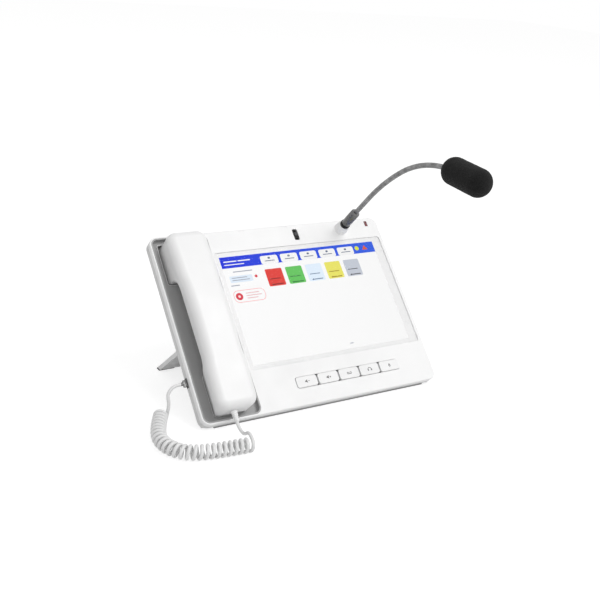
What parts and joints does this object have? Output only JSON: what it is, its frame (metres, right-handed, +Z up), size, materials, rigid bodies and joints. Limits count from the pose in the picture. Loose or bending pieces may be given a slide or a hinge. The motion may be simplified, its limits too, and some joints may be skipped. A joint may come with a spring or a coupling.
{
  "type": "paging console phone",
  "caption": "Tilted desk console with a touch panel, corded handset in a cradle, key row, gooseneck microphone and folding kickstand.",
  "frame": {"origin": "middle of the contact face of the rubber foot under the case's front edge, on the table", "axes": "+Z up from the table, +X to the right seen from the user's side, +Y away from the user, the face leaning back 44 degrees from the table"},
  "size_m": [0.3723, 0.2668, 0.2947],
  "materials": {
    "white_shell": "fine satin",
    "grey_shell": "fine satin",
    "cradle": "fine satin",
    "handset": "soft gloss",
    "glass": "polished",
    "display": "smooth panel",
    "key": "satin",
    "silicone": "matt",
    "circuit": "lacquered laminate",
    "steel": "brushed",
    "zinc": "plated",
    "black_plastic": "fine satin",
    "black_gloss": "polished",
    "lens": "polished",
    "red_light": "clear tinted",
    "neck_metal": "satin wound",
    "foam": "open foam",
    "rubber": "matt",
    "clear_plug": "clear smoky",
    "cord": "smooth",
    "stand": "fine satin",
    "cast_weight": "raw"
  },
  "bodies": {
    "case": {"front_shell": "white_shell", "rear_cover": "grey_shell", "cradle": "cradle", "cover_glass": "glass", "display_module": "display", "key_mat": "silicone", "key_board": "circuit", "camera_bracket": "black_plastic", "indicator_light": "red_light", "neck_socket": "grey_shell", "neck_nut": "zinc", "neck_collar": "black_plastic", "neck_sleeve": "zinc", "hook_switch": "black_plastic", "cord_socket": "black_plastic", "base_plug": "clear_plug", "curly_cord": "cord", "handset_lead": "cord", "base_lead": "cord", "main_board": "circuit", "board_shield": "steel", "board_screws": "steel", "network_sockets": "zinc", "power_inlet": "black_plastic", "power_pin": "zinc", "loudspeaker": "black_plastic", "case_screws": "steel", "front_foot": "rubber", "hinge_brackets": "stand", "hinge_screws": "steel"},
    "handset": {"handset_lower_shell": "handset", "handset_upper_shell": "handset", "handset_weight": "cast_weight", "handset_screws": "steel", "mouthpiece_grille": "handset", "earpiece_grille": "handset", "mouthpiece_capsule": "black_plastic", "earpiece_capsule": "black_plastic", "handset_strain_relief": "cord"},
    "hook_plunger": {"hook_plunger": "black_plastic"},
    "camera": {"camera_drum": "black_gloss", "camera_lens": "lens"},
    "neck_lower": {"neck_1": "neck_metal"},
    "neck_middle": {"neck_2": "neck_metal"},
    "microphone": {"neck_3": "neck_metal", "microphone_housing": "neck_metal", "microphone_capsule": "steel", "windscreen": "foam"},
    "kickstand": {"kickstand": "stand", "kickstand_feet": "rubber", "hinge_pins": "steel"},
    "key_1": {"key_1": "key"},
    "key_2": {"key_2": "key"},
    "key_3": {"key_3": "key"},
    "key_4": {"key_4": "key"},
    "key_5": {"key_5": "key"}
  },
  "joints": [
    {"name": "handset_lift", "type": "slide", "parent": "case", "child": "handset", "axis": [0, -0.6947, 0.7193], "range_m": [0, 0.04]},
    {"name": "hook_plunger_travel", "type": "slide", "parent": "case", "child": "hook_plunger", "axis": [0, -0.6947, 0.7193], "range_m": [0, 0.004]},
    {"name": "camera_tilt", "type": "hinge", "parent": "case", "child": "camera", "pos_m": [0.033, 0.14543, 0.15296], "axis": [1, 0, 0], "range_deg": [-20, 20]},
    {"name": "kickstand_fold", "type": "hinge", "parent": "case", "child": "kickstand", "pos_m": [0, 0.07562, 0.0633], "axis": [-1, 0, 0], "range_deg": [0, 92]},
    {"name": "neck_bend_side", "type": "hinge", "parent": "case", "child": "neck_lower", "pos_m": [0.0995, 0.11087, 0.1909], "axis": [0, 0.7193, 0.6947], "range_deg": [-20, 20]},
    {"name": "neck_bend_middle", "type": "hinge", "parent": "neck_lower", "child": "neck_middle", "pos_m": [0.0995, 0.07857, 0.22364], "axis": [1, 0, 0], "range_deg": [-20, 20]},
    {"name": "neck_bend_upper", "type": "hinge", "parent": "neck_middle", "child": "microphone", "pos_m": [0.0995, 0.04251, 0.25212], "axis": [1, 0, 0], "range_deg": [-20, 20]},
    {"name": "key_1_press", "type": "slide", "parent": "case", "child": "key_1", "axis": [0, 0.6947, -0.7193], "range_m": [0, 0.0012], "stiffness_N_per_m": 800},
    {"name": "key_2_press", "type": "slide", "parent": "case", "child": "key_2", "axis": [0, 0.6947, -0.7193], "range_m": [0, 0.0012], "stiffness_N_per_m": 800},
    {"name": "key_3_press", "type": "slide", "parent": "case", "child": "key_3", "axis": [0, 0.6947, -0.7193], "range_m": [0, 0.0012], "stiffness_N_per_m": 800},
    {"name": "key_4_press", "type": "slide", "parent": "case", "child": "key_4", "axis": [0, 0.6947, -0.7193], "range_m": [0, 0.0012], "stiffness_N_per_m": 800},
    {"name": "key_5_press", "type": "slide", "parent": "case", "child": "key_5", "axis": [0, 0.6947, -0.7193], "range_m": [0, 0.0012], "stiffness_N_per_m": 800}
  ],
  "couplings": [
    {"joint": "hook_plunger_travel", "follows": "handset_lift", "ratio": 0.1}
  ]
}
